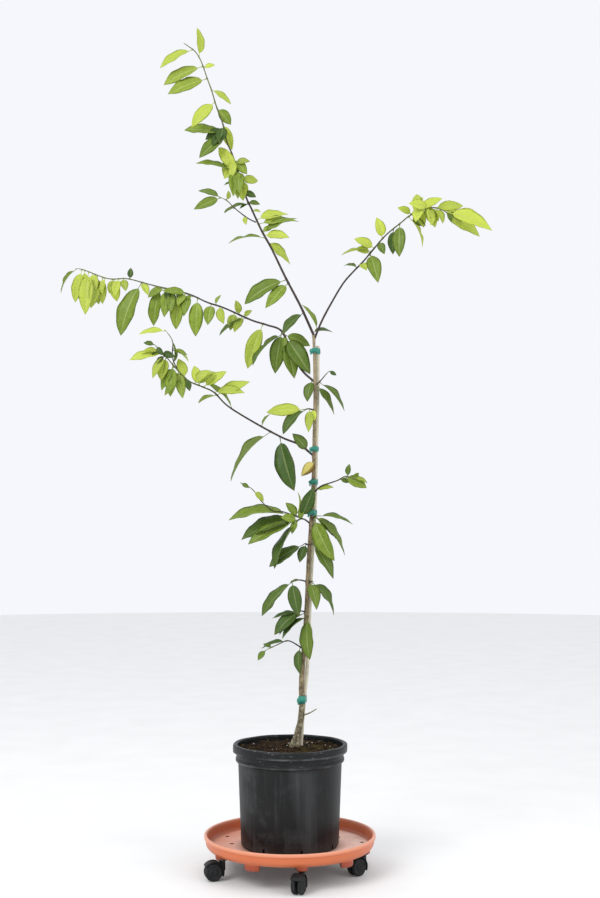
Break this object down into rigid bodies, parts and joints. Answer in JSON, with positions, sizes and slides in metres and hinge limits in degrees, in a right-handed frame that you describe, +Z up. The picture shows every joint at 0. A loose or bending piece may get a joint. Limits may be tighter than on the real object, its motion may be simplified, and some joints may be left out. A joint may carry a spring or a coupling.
{
  "type": "potted custard apple sapling on a plant caddy",
  "caption": "Young leafy fruit tree tied to a cane, growing in a round nursery pot of soil that stands in a dished plant caddy on swivelling twin-wheel casters.",
  "frame": {"origin": "floor level, under the middle of the bounding box", "axes": "+Z up the plant; -Y towards the viewer of the picture; +X to the viewer's right"},
  "size_m": [1.022, 0.4028, 1.9825],
  "materials": {
    "pot": "black polypropylene, dusty satin",
    "soil": "dark potting mix with white grains",
    "bark": "rough grey-brown bark",
    "cane": "pale weathered cane",
    "caddy": "terracotta-coloured polypropylene",
    "yellow_leaf": "dying leaf",
    "tape": "green stretch tape",
    "leaf": "living leaf, satin above and dull below",
    "caster": "black nylon",
    "wheel": "black nylon"
  },
  "bodies": {
    "plant": {"pot": "pot", "soil": "soil", "trunk": "bark", "cane": "cane", "tie_1": "tape", "tie_2": "tape", "tie_3": "tape", "tie_4": "tape", "tie_5": "tape", "leader": "leaf", "right_branch": "leaf", "upper_left_branch": "leaf", "lower_left_branch": "leaf", "right_spur": "leaf", "middle_left_shoot": "leaf", "yellow_leaf": "yellow_leaf", "right_twig": "leaf", "left_whorl": "leaf", "right_whorl": "leaf", "low_left_shoot": "leaf", "low_right_shoot": "leaf", "low_left_cluster": "leaf", "front_leaf": "leaf", "bottom_left_shoot": "leaf", "caddy_tray": "caddy"},
    "caster_1": {"caster_fork_1": "caster"},
    "wheel_1": {"caster_wheel_1": "wheel"},
    "caster_2": {"caster_fork_2": "caster"},
    "wheel_2": {"caster_wheel_2": "wheel"},
    "caster_3": {"caster_fork_3": "caster"},
    "wheel_3": {"caster_wheel_3": "wheel"},
    "caster_4": {"caster_fork_4": "caster"},
    "wheel_4": {"caster_wheel_4": "wheel"},
    "caster_5": {"caster_fork_5": "caster"},
    "wheel_5": {"caster_wheel_5": "wheel"}
  },
  "joints": [
    {"name": "caster_1_swivel", "type": "hinge", "parent": "plant", "child": "caster_1", "pos_m": [0.08527, -0.15914, 0.0508], "axis": [0, 0, 1], "continuous": true},
    {"name": "wheel_1_roll", "type": "hinge", "parent": "caster_1", "child": "wheel_1", "pos_m": [0.07893, -0.17864, 0.01962], "axis": [0.9511, -0.309, 0], "continuous": true},
    {"name": "caster_2_swivel", "type": "hinge", "parent": "plant", "child": "caster_2", "pos_m": [0.22492, -0.01949, 0.0508], "axis": [0, 0, 1], "continuous": true},
    {"name": "wheel_2_roll", "type": "hinge", "parent": "caster_2", "child": "wheel_2", "pos_m": [0.20922, -0.03267, 0.01962], "axis": [0.6428, -0.766, 0], "continuous": true},
    {"name": "caster_3_swivel", "type": "hinge", "parent": "plant", "child": "caster_3", "pos_m": [0.13526, 0.15648, 0.0508], "axis": [0, 0, 1], "continuous": true},
    {"name": "wheel_3_roll", "type": "hinge", "parent": "caster_3", "child": "wheel_3", "pos_m": [0.14551, 0.17424, 0.01962], "axis": [-0.866, 0.5, 0], "continuous": true},
    {"name": "caster_4_swivel", "type": "hinge", "parent": "plant", "child": "caster_4", "pos_m": [-0.05981, 0.12559, 0.0508], "axis": [0, 0, 1], "continuous": true},
    {"name": "wheel_4_roll", "type": "hinge", "parent": "caster_4", "child": "wheel_4", "pos_m": [-0.04205, 0.11534, 0.01962], "axis": [0.5, 0.866, 0], "continuous": true},
    {"name": "caster_5_swivel", "type": "hinge", "parent": "plant", "child": "caster_5", "pos_m": [-0.0907, -0.06948, 0.0508], "axis": [0, 0, 1], "continuous": true},
    {"name": "wheel_5_roll", "type": "hinge", "parent": "caster_5", "child": "wheel_5", "pos_m": [-0.1105, -0.07478, 0.01962], "axis": [0.2588, -0.9659, 0], "continuous": true}
  ]
}
